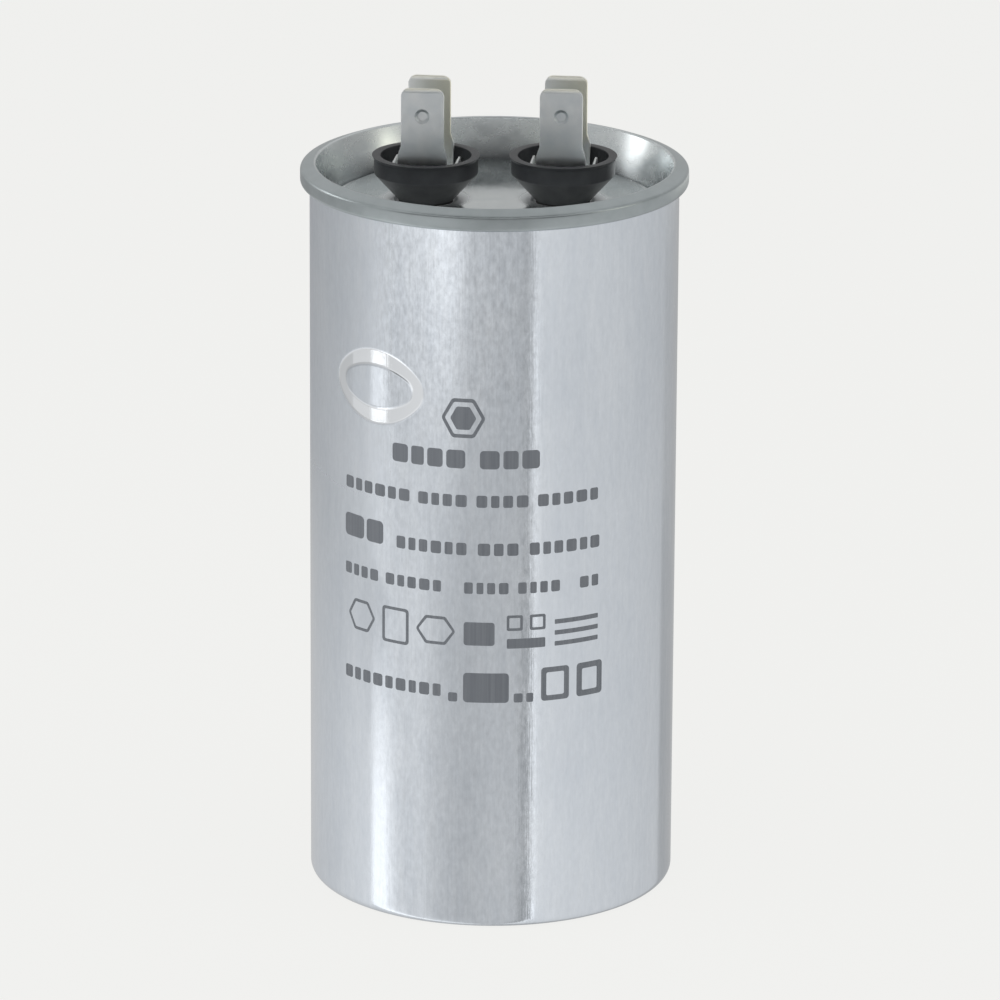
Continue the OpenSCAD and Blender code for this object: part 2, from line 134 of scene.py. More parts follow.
# Coined oval on the can
oval_z = 82.7 * MM
oval_angle = math.radians(-39)
oval_outer = (16.2 * MM, 11.3 * MM)
oval_inner = (12.7 * MM, 6.5 * MM)
oval_depth = 0.055 * MM


# ---- Measures -------------------------------------------------------------------------------

def smooth(low, high, value):
    """0 below low, 1 above high, and a soft step between them."""
    share = min(max((value - low) / (high - low), 0.0), 1.0)
    return share * share * (3 - 2 * share)


def window(value, low, high, soft):
    """1 from low to high and 0 beyond, with soft edges."""
    return smooth(low - soft, low + soft, value) * smooth(high + soft, high - soft, value)


def bearing(position):
    """Angle of a point round the can in degrees: 0 in front, 90 to the right."""
    return math.degrees(math.atan2(position.x, -position.y))


def radius_of(position):
    """Distance of a point from the can's axis."""
    return math.hypot(position.x, position.y)


def cup_radius_of(position):
    """Distance of a point from the axis of the nearer cup."""
    return math.hypot(abs(position.x) - pitch / 2, position.y)


def direction(azimuth, elevation):
    """Unit vector for angles in degrees: azimuth as a bearing, elevation from the horizon."""
    a, e = math.radians(azimuth), math.radians(elevation)
    return Vector((math.sin(a) * math.cos(e), -math.cos(a) * math.cos(e), math.sin(e)))


# ---- Mesh helpers ---------------------------------------------------------------------------

# Share of the full rounding for two arcs that follow each other, so that they stay apart
FULL = 0.98


def rounded(corners, steps=8, closed=False):
    """Outline through corners of (radius, height, rounding), each rounded by a true arc."""
    points = []
    count = len(corners)
    for i, (x, z, rounding) in enumerate(corners):
        here = Vector((x, z))
        ends = not closed and i in (0, count - 1)
        if rounding <= 0 or ends:
            points.append(here)
            continue
        before = (Vector(corners[i - 1][:2]) - here).normalized()
        after = (Vector(corners[(i + 1) % count][:2]) - here).normalized()
        half = before.angle(after) / 2
        middle = here + (before + after).normalized() * (rounding / math.sin(half))
        start = here + before * (rounding / math.tan(half)) - middle
        sweep = start.angle_signed(here + after * (rounding / math.tan(half)) - middle)
        for k in range(steps + 1):
            turn = -sweep * k / steps
            c, s = math.cos(turn), math.sin(turn)
            points.append(middle + Vector((c * start.x - s * start.y, s * start.x + c * start.y)))
    return [(p.x, p.y) for p in points]


def even_angles(count):
    """Angles of a full turn in equal steps."""
    return [TURN * i / count for i in range(count)]


def in_scene(name, data):
    """New object of the scene for a mesh, a lamp or a camera."""
    thing = bpy.data.objects.new(name, data)
    bpy.context.scene.collection.objects.link(thing)
    return thing


def smooth_piece(name, shape, sharp):
    """Object from a bmesh, smooth but for edges sharper than sharp degrees."""
    bmesh.ops.recalc_face_normals(shape, faces=shape.faces)
    mesh = bpy.data.meshes.new(name)
    shape.to_mesh(mesh)
    shape.free()
    mesh.polygons.foreach_set("use_smooth", [True] * len(mesh.polygons))
    mesh.set_sharp_from_angle(angle=math.radians(sharp))
    return in_scene(name, mesh)


def finish_mesh(name, verts, faces, sharp=35):
    """Object from vertices and faces, with outward normals."""
    rough = bpy.data.meshes.new("rough")
    rough.from_pydata(verts, [], faces)
    shape = bmesh.new()
    shape.from_mesh(rough)
    bpy.data.meshes.remove(rough)
    return smooth_piece(name, shape, sharp)


def lathe(name, outline, angles, closed=False, centre=0.0, sharp=35):
    """Turns an outline of (radius, height) round an upright axis at x = centre."""
    verts, rows, faces = [], [], []
    for radius, height in outline:
        if radius < 1e-7:
            rows.append([len(verts)] * len(angles))
            verts.append((centre, 0.0, height))
            continue
        rows.append(list(range(len(verts), len(verts) + len(angles))))
        for angle in angles:
            verts.append((centre + radius * math.sin(angle), -radius * math.cos(angle), height))
    pairs = list(zip(rows, rows[1:] + rows[:1])) if closed else list(zip(rows, rows[1:]))
    for low, high in pairs:
        for j in range(len(angles)):
            k = (j + 1) % len(angles)
            corners = list(dict.fromkeys((low[j], low[k], high[k], high[j])))
            if len(corners) > 2:
                faces.append(corners)
    return finish_mesh(name, verts, faces, sharp)


def paint(piece, name, rule):
    """Stores rule(position) on each vertex, for a material to read."""
    layer = piece.data.attributes.new(name, "FLOAT", "POINT")
    layer.data.foreach_set("value", [rule(v.co) for v in piece.data.vertices])


def place(piece, slot, material, *nodes):
    """Gives a piece its material and body and hides the CAD nodes it stands for; slot is not used.
    """
    piece.data.materials.clear()
    piece.data.materials.append(material)
    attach(piece, "root")
    if nodes:
        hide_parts(*nodes)
    return piece


# ---- Material helpers -----------------------------------------------------------------------

def shader(name, colour, roughness, metallic=0.0, specular=0.5):
    """Principled material and its node tree."""
    material = bpy.data.materials.new(name)
    material.use_nodes = True
    bsdf = material.node_tree.nodes["Principled BSDF"]
    bsdf.inputs["Base Color"].default_value = (*colour, 1)
    bsdf.inputs["Roughness"].default_value = roughness
    bsdf.inputs["Metallic"].default_value = metallic
    bsdf.inputs["Specular IOR Level"].default_value = specular
    return material, bsdf


def add(material, kind, **settings):
    """New node of a material, or of the world, with some of its settings."""
    node = material.node_tree.nodes.new(kind)
    for key, value in settings.items():
        setattr(node, key, value)
    return node


def noise(material, size, stretch=(1, 1, 1), detail=3.0, rough=0.5):
    """Noise with features about size metres across, drawn out by stretch along X, Y, Z."""
    tree = material.node_tree
    where = add(material, "ShaderNodeTexCoord")
    mapping = add(material, "ShaderNodeMapping")
    mapping.inputs["Scale"].default_value = tuple(1 / (size * s) for s in stretch)
    texture = add(material, "ShaderNodeTexNoise")
    texture.inputs["Scale"].default_value = 1
    texture.inputs["Detail"].default_value = detail
    texture.inputs["Roughness"].default_value = rough
    tree.links.new(where.outputs["Object"], mapping.inputs["Vector"])
    tree.links.new(mapping.outputs["Vector"], texture.inputs["Vector"])
    return texture.outputs["Fac"]


def remap(material, value, low, high, start=0.3, end=0.7):
    """Value from start to end, spread over low to high."""
    node = add(material, "ShaderNodeMapRange")
    material.node_tree.links.new(value, node.inputs["Value"])
    node.inputs["From Min"].default_value = start
    node.inputs["From Max"].default_value = end
    node.inputs["To Min"].default_value = low
    node.inputs["To Max"].default_value = high
    return node.outputs["Result"]


def blend_colours(material, share, first, second):
    """Colour from first to second; either may be a colour or another node's output."""
    node = add(material, "ShaderNodeMix", data_type="RGBA")
    links = material.node_tree.links
    links.new(share, node.inputs["Factor"])
    for socket, colour in ((node.inputs["A"], first), (node.inputs["B"], second)):
        if isinstance(colour, tuple):
            socket.default_value = (*colour, 1)
        else:
            links.new(colour, socket)
    return node.outputs["Result"]


def blend_values(material, share, first, second):
    """Value from first to second; either may be a number or another node's output."""
    node = add(material, "ShaderNodeMix", data_type="FLOAT")
    links = material.node_tree.links
    links.new(share, node.inputs["Factor"])
    for socket, value in ((node.inputs["A"], first), (node.inputs["B"], second)):
        if isinstance(value, float):
            socket.default_value = value
        else:
            links.new(value, socket)
    return node.outputs["Result"]


def total(material, first, second, share=1.0):
    """first + second * share."""
    node = add(material, "ShaderNodeMath", operation="MULTIPLY_ADD")
    links = material.node_tree.links
    links.new(second, node.inputs[0])
    node.inputs[1].default_value = share
    links.new(first, node.inputs[2])
    return node.outputs["Value"]


def shaded(material, colour, pattern, middle, strength):
    """Colour made lighter and darker by a pattern about its middle value."""
    links = material.node_tree.links
    away = add(material, "ShaderNodeMath", operation="SUBTRACT")
    links.new(pattern, away.inputs[0])
    away.inputs[1].default_value = middle
    scaled = add(material, "ShaderNodeMath", operation="MULTIPLY_ADD")
    links.new(away.outputs["Value"], scaled.inputs[0])
    links.new(strength, scaled.inputs[1])
    scaled.inputs[2].default_value = 1.0
    product = add(material, "ShaderNodeVectorMath", operation="SCALE")
    links.new(colour, product.inputs[0])
    links.new(scaled.outputs["Value"], product.inputs["Scale"])
    return product.outputs["Vector"]


def bump(material, bsdf, height, depth):
    """Presses a height pattern into the surface, depth metres deep."""
    node = add(material, "ShaderNodeBump")
    node.inputs["Distance"].default_value = depth
    material.node_tree.links.new(height, node.inputs["Height"])
    material.node_tree.links.new(node.outputs["Normal"], bsdf.inputs["Normal"])


def attribute(material, name):
    """A value painted on the mesh."""
    return add(material, "ShaderNodeAttribute", attribute_name=name).outputs["Fac"]


def grained(name, dark, light, roughness, size, metallic=0.0, depth=0.0):
    """Plain finish with a grain: two near colours, uneven gloss and a fine relief."""
    spread = 0.06
    cloud_size = 9 * size
    material, bsdf = shader(name, dark, roughness, metallic)
    links = material.node_tree.links
    grain = noise(material, size)
    cloud = noise(material, cloud_size, detail=2.0)
    links.new(blend_colours(material, remap(material, cloud, 0, 1), dark, light),
              bsdf.inputs["Base Color"])
    links.new(remap(material, grain, roughness - spread, roughness + spread),
              bsdf.inputs["Roughness"])
    if depth:
        bump(material, bsdf, grain, depth)
    return material


# ---- Materials ------------------------------------------------------------------------------

def can_finish():
    """Drawn aluminium: fine upright draw lines, soft mottling and a polished coined oval."""
    material, bsdf = shader("drawn_aluminium", (0.735, 0.765, 0.805), 0.12, 1.0)
    links = material.node_tree.links
    lines = noise(material, 0.26 * MM, (1, 1, 30), detail=4.0, rough=0.6)
    strokes = noise(material, 1.1 * MM, (1, 1, 6), detail=5.0, rough=0.65)
    cloud = noise(material, 9 * MM, (1, 1, 2.2), detail=3.0)
    satin, scuff = attribute(material, "satin"), attribute(material, "scuff")
    tone = blend_colours(material, remap(material, total(material, strokes, cloud), 0, 1, 0.7, 1.3),
                         (0.68, 0.725, 0.78), (0.76, 0.80, 0.845))
    grain = noise(material, 0.6 * MM, (1, 1, 2.2), detail=3.0, rough=0.55)
    lined = shaded(material, tone, total(material, grain, lines, 0.45), 0.725,
                   blend_values(material, scuff, 0.13, 0.62))
    band = attribute(material, "coined")
    links.new(blend_colours(material, band, lined, (0.86, 0.885, 0.91)), bsdf.inputs["Base Color"])
    gloss = remap(material, total(material, cloud, strokes, 0.5), 0.06, 0.16, 0.5, 0.95)
    soft = blend_values(material, satin, gloss, 0.32)
    links.new(blend_values(material, attribute(material, "die"), soft, 0.06),
              bsdf.inputs["Roughness"])
    flecks = noise(material, 0.5 * MM, (1, 1, 1.5), detail=3.0)
    scored = total(material, lines, flecks, 0.5)
    brushed = blend_values(material, scuff, remap(material, lines, 0, 0.16, 0, 1),
                           remap(material, scored, 0, 1.5, 0, 1.5))
    relief = total(material, total(material, brushed, strokes), cloud, 1.6)
    bump(material, bsdf, relief, 0.0085 * MM)
    return material


def lid_finish():
    """Tinplate: bright and slightly uneven inside, duller and worn on the rolled seam, with painted
    shade in the countersink behind the cups and a painted highlight round the cups' feet.
    """
    material, bsdf = shader("tinplate_sheet", (0.50, 0.53, 0.54), 0.1, 1.0)
    links = material.node_tree.links
    stain = noise(material, 2.6 * MM, (1, 1, 0.6), detail=2.5, rough=0.5)
    wave = noise(material, 4.5 * MM, detail=1.0)
    bead, seat = attribute(material, "bead"), attribute(material, "seat")
    bright = blend_colours(material, remap(material, stain, 0, 1), (0.60, 0.64, 0.65),
                           (0.68, 0.715, 0.72))
    # Round each cup's foot the sheet is matt, and its paler colour is a painted highlight standing
    # in for the bright reflection there.
    panel_with_painted_seat_light = blend_colours(material, seat, bright, (0.80, 0.82, 0.83))
    # Painted shade: the countersink behind the cups is painted near black, where shade falls in the
    # recess.
    groove_shaded_panel = blend_colours(material, attribute(material, "groove"), panel_with_painted_seat_light, (0.06, 0.065, 0.07))
    dull = blend_colours(material, remap(material, stain, 0, 1), (0.395, 0.437, 0.447),
                         (0.455, 0.497, 0.510))
    links.new(blend_colours(material, bead, groove_shaded_panel, dull), bsdf.inputs["Base Color"])
    flat = blend_values(material, seat, remap(material, stain, 0.08, 0.15), 0.6)
    wall = remap(material, stain, 0.22, 0.30)
    inside = blend_values(material, attribute(material, "wall"), flat, wall)
    links.new(blend_values(material, bead, inside, remap(material, stain, 0.30, 0.38)),
              bsdf.inputs["Roughness"])
    bump(material, bsdf, wave, 0.015 * MM)
    return material


def cup_finish():
    """Black moulded plastic, half matt, painted greyer on the cone as painted light from the bright
    panel below it.
    """
    material, bsdf = shader("black_moulding", (0.018, 0.019, 0.021), 0.4, 0.0, 0.35)
    links = material.node_tree.links
    cloud = noise(material, 2.3 * MM, detail=2.0)
    grain = noise(material, 0.25 * MM)
    plain = blend_colours(material, remap(material, cloud, 0, 1), (0.016, 0.017, 0.019),
                          (0.023, 0.025, 0.027))
    cone_painted_light = blend_colours(material, remap(material, cloud, 0, 1), (0.080, 0.085, 0.087),
                          (0.110, 0.115, 0.116))
    # Painted light: the cone is painted greyer, standing in for the light the panel throws up onto
    # it.
    links.new(blend_colours(material, attribute(material, "cone"), plain, cone_painted_light),
              bsdf.inputs["Base Color"])
    links.new(remap(material, grain, 0.36, 0.46), bsdf.inputs["Roughness"])
    bump(material, bsdf, grain, 0.002 * MM)
    return material


def terminal_finish():
    """Tin plating on brass: satin, with faint clouds and rub marks; the rear tabs are painted paler
    and the cut edges cream, as painted highlights.
    """
    material, bsdf = shader("tin_plating", (0.66, 0.69, 0.70), 0.38, 1.0)
    links = material.node_tree.links
    cloud = noise(material, 2.5 * MM, detail=3.0)
    rub = noise(material, 0.4 * MM, (1, 1, 3), detail=2.0)
    front = blend_colours(material, remap(material, cloud, 0, 1), (0.71, 0.75, 0.77),
                          (0.80, 0.825, 0.83))
    # Painted highlight: the rear tabs are painted paler than the front ones.
    front_and_painted_rear = blend_colours(material, attribute(material, "rear"), front, (0.93, 0.95, 0.94))
    # Painted highlight: the tops and the rear cut edges of the tabs are painted cream.
    links.new(blend_colours(material, attribute(material, "edge"), front_and_painted_rear, (1.0, 0.98, 0.84)),
              bsdf.inputs["Base Color"])
    links.new(remap(material, rub, 0.33, 0.42), bsdf.inputs["Roughness"])
    bump(material, bsdf, cloud, 0.006 * MM)
    return material


def ink_finish():
    """Grey stencil ink, thin enough for the draw lines to show."""
    material, bsdf = shader("grey_ink", (0.13, 0.14, 0.155), 0.4, 0.35, 0.4)
    links = material.node_tree.links
    lines = noise(material, 0.35 * MM, (1, 1, 60), detail=4.0, rough=0.6)
    links.new(blend_colours(material, remap(material, lines, 0, 1), (0.115, 0.125, 0.14),
                            (0.155, 0.165, 0.18)), bsdf.inputs["Base Color"])
    links.new(remap(material, lines, 0.33, 0.46), bsdf.inputs["Roughness"])
    return material


def film_finish():
    """Metallised film seen from the end: fine turns round the core."""
    material, bsdf = shader("metallised_film_roll", (0.62, 0.64, 0.67), 0.25, 0.8)
    links = material.node_tree.links
    where = add(material, "ShaderNodeTexCoord")
    rings = add(material, "ShaderNodeTexWave", wave_type="RINGS", rings_direction="Z")
    rings.inputs["Scale"].default_value = 700
    rings.inputs["Distortion"].default_value = 1.5
    links.new(where.outputs["Object"], rings.inputs["Vector"])
    links.new(blend_colours(material, rings.outputs["Fac"], (0.52, 0.54, 0.57),
                            (0.70, 0.72, 0.75)), bsdf.inputs["Base Color"])
    bump(material, bsdf, rings.outputs["Fac"], 0.01 * MM)
    return material


def wrap_finish():
    """Clear polypropylene wrap with a slight haze."""
    material = grained("clear_wrap", (0.80, 0.79, 0.75), (0.88, 0.87, 0.83), 0.25, 0.6 * MM)
    material.node_tree.nodes["Principled BSDF"].inputs["Transmission Weight"].default_value = 0.5
    return material


FINISHES = {
    "aluminium_can": can_finish(),
    "tinplate": lid_finish(),
    "black_plastic": cup_finish(),
    "tinned_terminal": terminal_finish(),
    "metallised_film": film_finish(),
    "clear_film_wrap": wrap_finish(),
    "stencil_ink": ink_finish(),
    "sealing_compound": grained("sealing_compound_grey", (0.040, 0.045, 0.040),
                                (0.060, 0.065, 0.060), 0.6, 0.3 * MM),
    "black_rubber": grained("black_rubber_moulding", (0.010, 0.010, 0.010),
                            (0.018, 0.018, 0.018), 0.65, 0.15 * MM, depth=0.004 * MM),
    "tinned_rivet": grained("tinned_rivet_head", (0.55, 0.57, 0.58), (0.64, 0.66, 0.67), 0.33,
                            0.3 * MM, metallic=1.0, depth=0.002 * MM),
    "hard_paper": grained("resin_bonded_paper", (0.19, 0.075, 0.030), (0.26, 0.110, 0.045), 0.45,
                          0.2 * MM, depth=0.003 * MM),
    "brass_lug": grained("tinned_brass_lug", (0.60, 0.46, 0.20), (0.70, 0.56, 0.28), 0.32,
                         0.3 * MM, metallic=1.0, depth=0.002 * MM),
    "white_plastic": grained("white_moulding", (0.68, 0.66, 0.58), (0.74, 0.72, 0.65), 0.45,
                             0.3 * MM, depth=0.003 * MM),
    "core_plastic": grained("core_tube_plastic", (0.72, 0.72, 0.68), (0.78, 0.78, 0.75), 0.4,
                            0.3 * MM, depth=0.002 * MM),
    "zinc_spray": grained("sprayed_zinc", (0.30, 0.32, 0.34), (0.42, 0.44, 0.46), 0.7,
                          0.12 * MM, metallic=0.6, depth=0.03 * MM),
    "tinned_wire": grained("tinned_copper_wire", (0.58, 0.60, 0.61), (0.66, 0.67, 0.68), 0.28,
                           0.2 * MM, metallic=1.0),
    "red_sleeve": grained("red_pvc_sleeve", (0.50, 0.035, 0.020), (0.58, 0.050, 0.030), 0.4,
                          0.2 * MM),
    "blue_sleeve": grained("blue_pvc_sleeve", (0.025, 0.075, 0.36), (0.035, 0.10, 0.44), 0.4,
                           0.2 * MM),
    "solder": grained("tin_solder", (0.62, 0.63, 0.64), (0.72, 0.73, 0.74), 0.22, 0.4 * MM,
                      metallic=1.0, depth=0.006 * MM),
}


# ---- Can ------------------------------------------------------------------------------------

def oval_gap(u, v, size):
    """Distance from a point to a four-centred oval, negative inside; size is width and height."""
    width, height = size
    end_r = height * 0.32
    rise = width / 2 - end_r
    side_r = (rise * rise + height * height / 4 - end_r * end_r) / (height - 2 * end_r)
    drop = side_r - height / 2
    u, v = abs(u), abs(v)
    if rise * (v + drop) < drop * u:
        return math.hypot(u - rise, v) - end_r
    return math.hypot(u, v + drop) - side_r


def in_ovals(position, edge):
    """How far a point is inside the outer oval and the inner one, softly over edge: 0 to 1."""
    turn = math.atan2(position.x, -position.y) - oval_angle
    if abs(position.z - oval_z) > oval_outer[1] or math.cos(turn) < 0.8:
        return 0.0, 0.0
    u, v = can_r * math.sin(turn), position.z - oval_z
    return tuple(smooth(edge, -edge, oval_gap(u, v, size)) for size in (oval_outer, oval_inner))


def coined(position):
    """1 in the pressed band between the two ovals, 0 off it and on the wall's inner side."""
    if radius_of(position) < can_r - can_wall / 2:
        return 0.0
    outer, inner = in_ovals(position, 0.12 * MM)
    return outer * (1 - inner)


def spread(start, fine_from, fine_to, end, fine, coarse):
    """Marks from start to end, in fine steps from fine_from to fine_to and coarse ones outside."""
    values = []
    for low, high, step in ((start, fine_from, coarse), (fine_from, fine_to, fine),
                            (fine_to, end, coarse)):
        count = max(1, math.ceil((high - low) / step))
        values += [low + (high - low) * i / count for i in range(count)]
    return values


def can_outline():
    """Section of the can: outside from the axis up, over the body hook, and back down inside."""
    bend = CAN_HIGH.z - can_wall
    fold = (CAN_HIGH.x - can_in) / 2
    inner_fold = fold - can_wall
    corner = rounded([(0, 0, 0), (can_r, 0, base_round), (can_r, 10 * MM, 0)])[:-1]
    reach = oval_outer[1] / 2 + 0.6 * MM
    wall = [(can_r, z) for z in spread(2 * MM, oval_z - reach, oval_z + reach, bend - fold,
                                       0.14 * MM, 2 * MM)]
    rest = rounded([
        (can_r, bend - inner_fold, 0),
        (can_r, bend, inner_fold),
        (hook_r, bend, inner_fold),
        (hook_r, seam_bottom + 0.7 * MM, 0),
        (CAN_HIGH.x, seam_bottom + 0.7 * MM, 0),
        (CAN_HIGH.x, CAN_HIGH.z, fold * FULL),
        (can_in, CAN_HIGH.z, fold * FULL),
        (can_in, can_floor, base_round - can_wall),
        (0, can_floor, 0),
    ])
    return corner + wall + rest


def die_mark(position):
    """1 where the coining die has smoothed the wall, less so inside the band."""
    outer, inner = in_ovals(position, 0.1 * MM)
    return outer * (1 - 0.25 * inner)


def satin(position):
    """1 where the wall is rubbed dull, on the left of the upper half."""
    turn = bearing(position)
    return smooth(-28, -36, turn) * smooth(-120, -100, turn) * smooth(45, 75, position.z / MM)


def scuff(position):
    """Where the draw lines are deepest: across the front at the top, and in one band below."""
    turn = bearing(position)
    top = window(turn, -38, 12, 5) * smooth(62, 88, position.z / MM)
    band = window(turn, 8.2, 13.5, 0.8)
    front = 0.4 * window(turn, -38, 14, 4)
    return max(top, band, front)


def build_can():
    """Can with a fine mesh where the oval band is pressed in."""
    reach = math.radians(19)
    middle = oval_angle + TURN
    angles = spread(0, middle - reach, middle + reach, TURN, math.radians(0.3),
                    math.radians(1.2))
    can = lathe("can_shell", can_outline(), angles, sharp=50)
    paint(can, "coined", coined)
    paint(can, "die", die_mark)
    paint(can, "satin", satin)
    paint(can, "scuff", scuff)
    press = [value.value for value in can.data.attributes["coined"].data]
    for vertex, share in zip(can.data.vertices, press):
        if share > 0:
            scale = 1 - share * oval_depth / can_r
            vertex.co.x *= scale
            vertex.co.y *= scale
    return place(can, "aluminium_can", FINISHES["aluminium_can"], "can")


# ---- Lid ------------------------------------------------------------------------------------

def lid_outline():
    """Section of the lid sheet: top side outwards to the cover hook, then back underneath."""
    hook_in = can_r + seam_clear
    curl = (seam_r - hook_in) / 2
    hook_end = CAN_HIGH.z - hook_drop
    groove_in, groove_out = groove_r - groove_round, groove_r + groove_round
    step = panel_z - groove_z - groove_round
    crest = seam_top + seam_rise
    top = rounded([
        (0, panel_z, 0),
        (groove_in, panel_z, step * FULL),
        (groove_in, groove_z, groove_round * FULL),
        (groove_out, groove_z, groove_round * 0.8),
        (chuck_r - chuck_taper, seam_bottom, wall_round),
        (chuck_r, crest, seam_inner_round),
        (seam_r, crest - seam_slope, seam_outer_round),
        (seam_r, seam_bottom, curl * FULL),
        (hook_in, seam_bottom, curl * FULL),
        (hook_in, hook_end, 0),
    ])
    under = rounded([
        (hook_in + lid_t, hook_end, 0),
        (hook_in + lid_t, seam_bottom + lid_t, (curl - lid_t) * FULL),
        (seam_r - lid_t, seam_bottom + lid_t, (curl - lid_t) * FULL),
        (seam_r - lid_t, crest - seam_slope - lid_t, seam_outer_round - lid_t),
        (chuck_r + lid_t, crest - 1.15 * lid_t, 0.1 * MM),
        (chuck_r - chuck_taper + lid_t, seam_bottom, wall_round),
        (groove_out + lid_t, groove_z - lid_t, groove_round + lid_t * 0.8),
        (groove_in - lid_t, groove_z - lid_t, (groove_round + lid_t) * FULL),
        (groove_in - lid_t, panel_z - lid_t, 0.1 * MM),
        (0, panel_z - lid_t, 0),
    ])
    return fine_panel(top, 0.22 * MM) + fine_panel(under, 0.28 * MM)


def fine_panel(outline, spacing):
    """Adds points along the panel, so that the cups' seats can be pressed into it."""
    points = []
    for a, b in zip(outline, outline[1:] + [None]):
        points.append(a)
        if b and abs(a[0] - b[0]) > 5 * MM:
            count = round(abs(a[0] - b[0]) / spacing)
            points += [(a[0] + (b[0] - a[0]) * i / count, a[1]) for i in range(1, count)]
    return points


def groove_shade(position):
    """1 in the countersink behind the cups, where the sheet is painted near black: painted shade in
    the recess.
    """
    away = math.degrees(math.atan2(abs(position.x), position.y))
    return (smooth(panel_z + 0.9 * MM, panel_z + 0.3 * MM, position.z)
            * smooth(groove_r - 0.4 * MM, groove_r, radius_of(position))
            * smooth(75, 45, away))


def build_lid():
    """Lid sheet with the cups' seats pressed into its panel."""
    lid = lathe("lid_sheet", lid_outline(), even_angles(288), sharp=50)
    drop = panel_z - seat_z
    for vertex in lid.data.vertices:
        p = vertex.co
        away = cup_radius_of(p)
        if away < seat_r + 1 * MM and p.z < panel_z + 0.1 * MM:
            p.z -= drop * smooth(seat_r + 0.35 * MM, seat_r - 0.1 * MM, away)
    paint(lid, "bead", lambda p: smooth(chuck_r + 0.05 * MM, chuck_r + 0.35 * MM, radius_of(p)))
    paint(lid, "wall", lambda p: smooth(groove_r, groove_r + 0.6 * MM, radius_of(p)))
    # Matt ring round each cup's foot, which is also painted paler as a painted highlight.
    paint(lid, "seat", lambda p: smooth(seat_r + 3 * MM, seat_r + 0.5 * MM, cup_radius_of(p)))
    # Mask of the painted shade in the countersink behind the cups.
    paint(lid, "groove", groove_shade)
    return place(lid, "tinplate", FINISHES["tinplate"], "lid")


# ---- Cups, rivets and terminals -------------------------------------------------------------

def build_cup(side, x):
    """Insulating cup: neck through the lid, cone, upright band and hollow."""
    bore = rivet_r + 0.08 * MM
    neck_r = 2.7 * MM
    band_r, band_z = cup_lip_r - 0.3 * MM, cup_top - 2.7 * MM
    hollow_r, floor_r, floor_z = cup_lip_r - 1.3 * MM, 5.55 * MM, panel_z + 2.6 * MM
    hollow_z = floor_z + (hollow_r - floor_r) * (band_z - panel_z) / (band_r - cup_foot_r)
    outline = rounded([
        (bore, CUP_LOW.z, 0),
        (neck_r, CUP_LOW.z, 0.1 * MM),
        (neck_r, panel_z, 0.05 * MM),
        (cup_foot_r, panel_z, 0.22 * MM),
        (band_r, band_z, 0.35 * MM),
        (band_r, cup_top - 0.45 * MM, 0.3 * MM),
        (cup_lip_r, cup_top, 0.03 * MM),
        (hollow_r, cup_top, 0.12 * MM),
        (hollow_r, hollow_z, 0.3 * MM),
        (floor_r, floor_z, 0.35 * MM),
        (bore, floor_z, 0),
    ], closed=True)
    cup = lathe(f"cup_{side}", outline, even_angles(160), closed=True, centre=x, sharp=40)
    # Mask of the cone, which gets painted light.
    paint(cup, "cone", lambda p: smooth(band_z + 0.3 * MM, band_z - 0.5 * MM, p.z))
    return place(cup, "black_plastic", FINISHES["black_plastic"], f"terminal_cup_{side}")


def build_rivet(side, x):
    """Rivet with a domed head at each end."""
    low, high = RIVET_LOW.z, RIVET_HIGH.z
    outline = rounded([
        (0, low, 0),
        (rivet_head_r, low, 0.5 * MM),
        (rivet_head_r, low + rivet_head_h, 0.12 * MM),
        (rivet_r, low + rivet_head_h, 0),
        (rivet_r, high - rivet_head_h, 0),
        (rivet_head_r, high - rivet_head_h, 0.12 * MM),
        (rivet_head_r, high, 0.62 * MM),
        (0, high, 0),
    ])
    rivet = lathe(f"rivet_head_{side}", outline, even_angles(96), centre=x, sharp=40)
    return place(rivet, "tinned_rivet", FINISHES["tinned_rivet"], f"rivet_{side}")


def narrow(face, share):
    """Draws the floor of a dimple in, so that its wall slopes like that of a punch mark."""
    middle = face.calc_center_median()
    for vertex in face.verts:
        vertex.co = middle + (vertex.co - middle) * share


def painted_edge_highlight(p):
    """1 on the bevelled tops of the tabs and on the punched sides of the rear ones, which are
    painted cream as a painted highlight.
    """
    aside = smooth(blade_half - 0.07 * MM, blade_half - 0.01 * MM, abs(abs(p.x) - pitch / 2))
    side = aside * smooth(blade_z - 0.1 * MM, blade_z - 0.05 * MM, p.z) if p.y > 0 else 0.0
    return max(side, 0.7 * smooth(blade_top - 0.5 * MM, blade_top - 0.1 * MM, p.z))


def build_terminal(side):
    """The CAD sheet with its punched edges broken, so that they catch the light."""
    node = f"terminal_{side}"
    shape = bmesh.new()
    shape.from_mesh(frame["nodes"][node].data)
    bmesh.ops.remove_doubles(shape, verts=shape.verts, dist=1e-6)
    bmesh.ops.dissolve_limit(shape, angle_limit=math.radians(1), verts=shape.verts,
                             edges=shape.edges)
    for face in shape.faces:
        if abs(face.normal.y) > 0.99 and 0.8 < face.calc_area() / dimple_area < 1.1:
            narrow(face, 0.7)
    sharp = [e for e in shape.edges if len(e.link_faces) == 2
             and e.calc_face_angle() > math.radians(20)]
    bmesh.ops.bevel(shape, geom=sharp, offset=edge_break, segments=2, affect="EDGES",
                    profile=0.5, clamp_overlap=True)
    piece = smooth_piece(f"four_tab_terminal_{side}", shape, sharp=18)
    # Mask of the rear tabs, which get a painted highlight.
    paint(piece, "rear", lambda p: smooth(0.2 * MM, 0.9 * MM, p.y))
    paint(piece, "edge", painted_edge_highlight)
    return place(piece, "tinned_terminal", FINISHES["tinned_terminal"], node)


# ---- Stencil print --------------------------------------------------------------------------

INK_PROUD = 0.02 * MM
INK_SUNK = 0.01 * MM
INK_STEP = 0.5 * MM


def arc(degrees):
    """Length along the wall of an angle from the front."""
    return can_r * math.radians(degrees)


